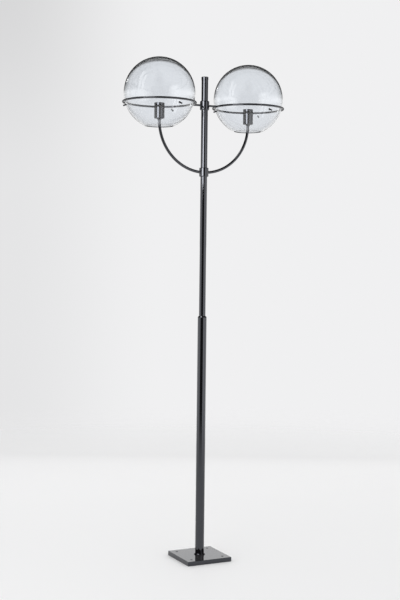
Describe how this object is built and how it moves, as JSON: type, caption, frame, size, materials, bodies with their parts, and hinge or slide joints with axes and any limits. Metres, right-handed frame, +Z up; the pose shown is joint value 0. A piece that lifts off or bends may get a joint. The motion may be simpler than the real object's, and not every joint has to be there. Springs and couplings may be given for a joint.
{
  "type": "floor lamp",
  "caption": "Tall floor lamp: a stepped black pole on a square plate, curved arms rising into clear glass globes, each globe resting in a horizontal rod ring.",
  "frame": {"origin": "middle of the underside of the base plate, on the floor, on the pole's axis", "axes": "+Z up along the pole; the arms lie along X, the left globe at -X and the right globe at +X; the set screws are on the +Y side"},
  "size_m": [0.8573, 0.3654, 2.495],
  "materials": {
    "black_lacquer": "gloss black lacquer",
    "plain_steel": "plain zinc-coated steel",
    "brass_strip": "bright rolled strip",
    "porcelain": "white glaze",
    "clear_glass": "clear blown glass with a faint blue-grey tint",
    "soft_pad": "clear soft silicone",
    "cable_sheath": "matt black sheath",
    "moulded_block": "ivory moulding",
    "soft_washer": "matt black"
  },
  "bodies": {
    "base": {"base_plate": "black_lacquer", "foot_ring": "black_lacquer", "lower_pole": "black_lacquer", "pole_reducer": "black_lacquer", "reducer_screw": "plain_steel"},
    "head": {"upper_pole": "black_lacquer", "pole_cap": "black_lacquer", "lower_collar": "black_lacquer", "upper_collar": "black_lacquer", "collar_screws": "plain_steel", "ring_left": "black_lacquer", "ring_right": "black_lacquer", "ring_rod_left": "black_lacquer", "ring_rod_right": "black_lacquer", "ring_pads_left": "soft_pad", "ring_pads_right": "soft_pad", "arm_left": "black_lacquer", "arm_right": "black_lacquer", "cone_nut_left": "black_lacquer", "cone_nut_right": "black_lacquer", "holder_cup_left": "black_lacquer", "holder_cup_right": "black_lacquer", "holder_lock_left": "plain_steel", "holder_lock_right": "plain_steel", "insulator_left": "porcelain", "insulator_right": "porcelain", "screw_shell_left": "brass_strip", "screw_shell_right": "brass_strip", "centre_contact_left": "brass_strip", "centre_contact_right": "brass_strip", "cable_left": "cable_sheath", "cable_right": "cable_sheath", "terminal_block": "moulded_block", "terminal_screws": "plain_steel"},
    "left_globe": {"globe_left": "clear_glass", "pins_left": "black_lacquer", "pin_washers_left": "soft_washer", "pin_nuts_left": "plain_steel"},
    "right_globe": {"globe_right": "clear_glass", "pins_right": "black_lacquer", "pin_washers_right": "soft_washer", "pin_nuts_right": "plain_steel"}
  },
  "joints": [
    {"name": "head_swivel", "type": "hinge", "parent": "base", "child": "head", "pos_m": [0, 0, 1.218], "axis": [0, 0, 1], "range_deg": [-175, 175]},
    {"name": "left_globe_spin", "type": "hinge", "parent": "head", "child": "left_globe", "pos_m": [-0.246, 0, 2.32], "axis": [0, 0, 1], "continuous": true},
    {"name": "right_globe_spin", "type": "hinge", "parent": "head", "child": "right_globe", "pos_m": [0.246, 0, 2.32], "axis": [0, 0, 1], "continuous": true}
  ]
}
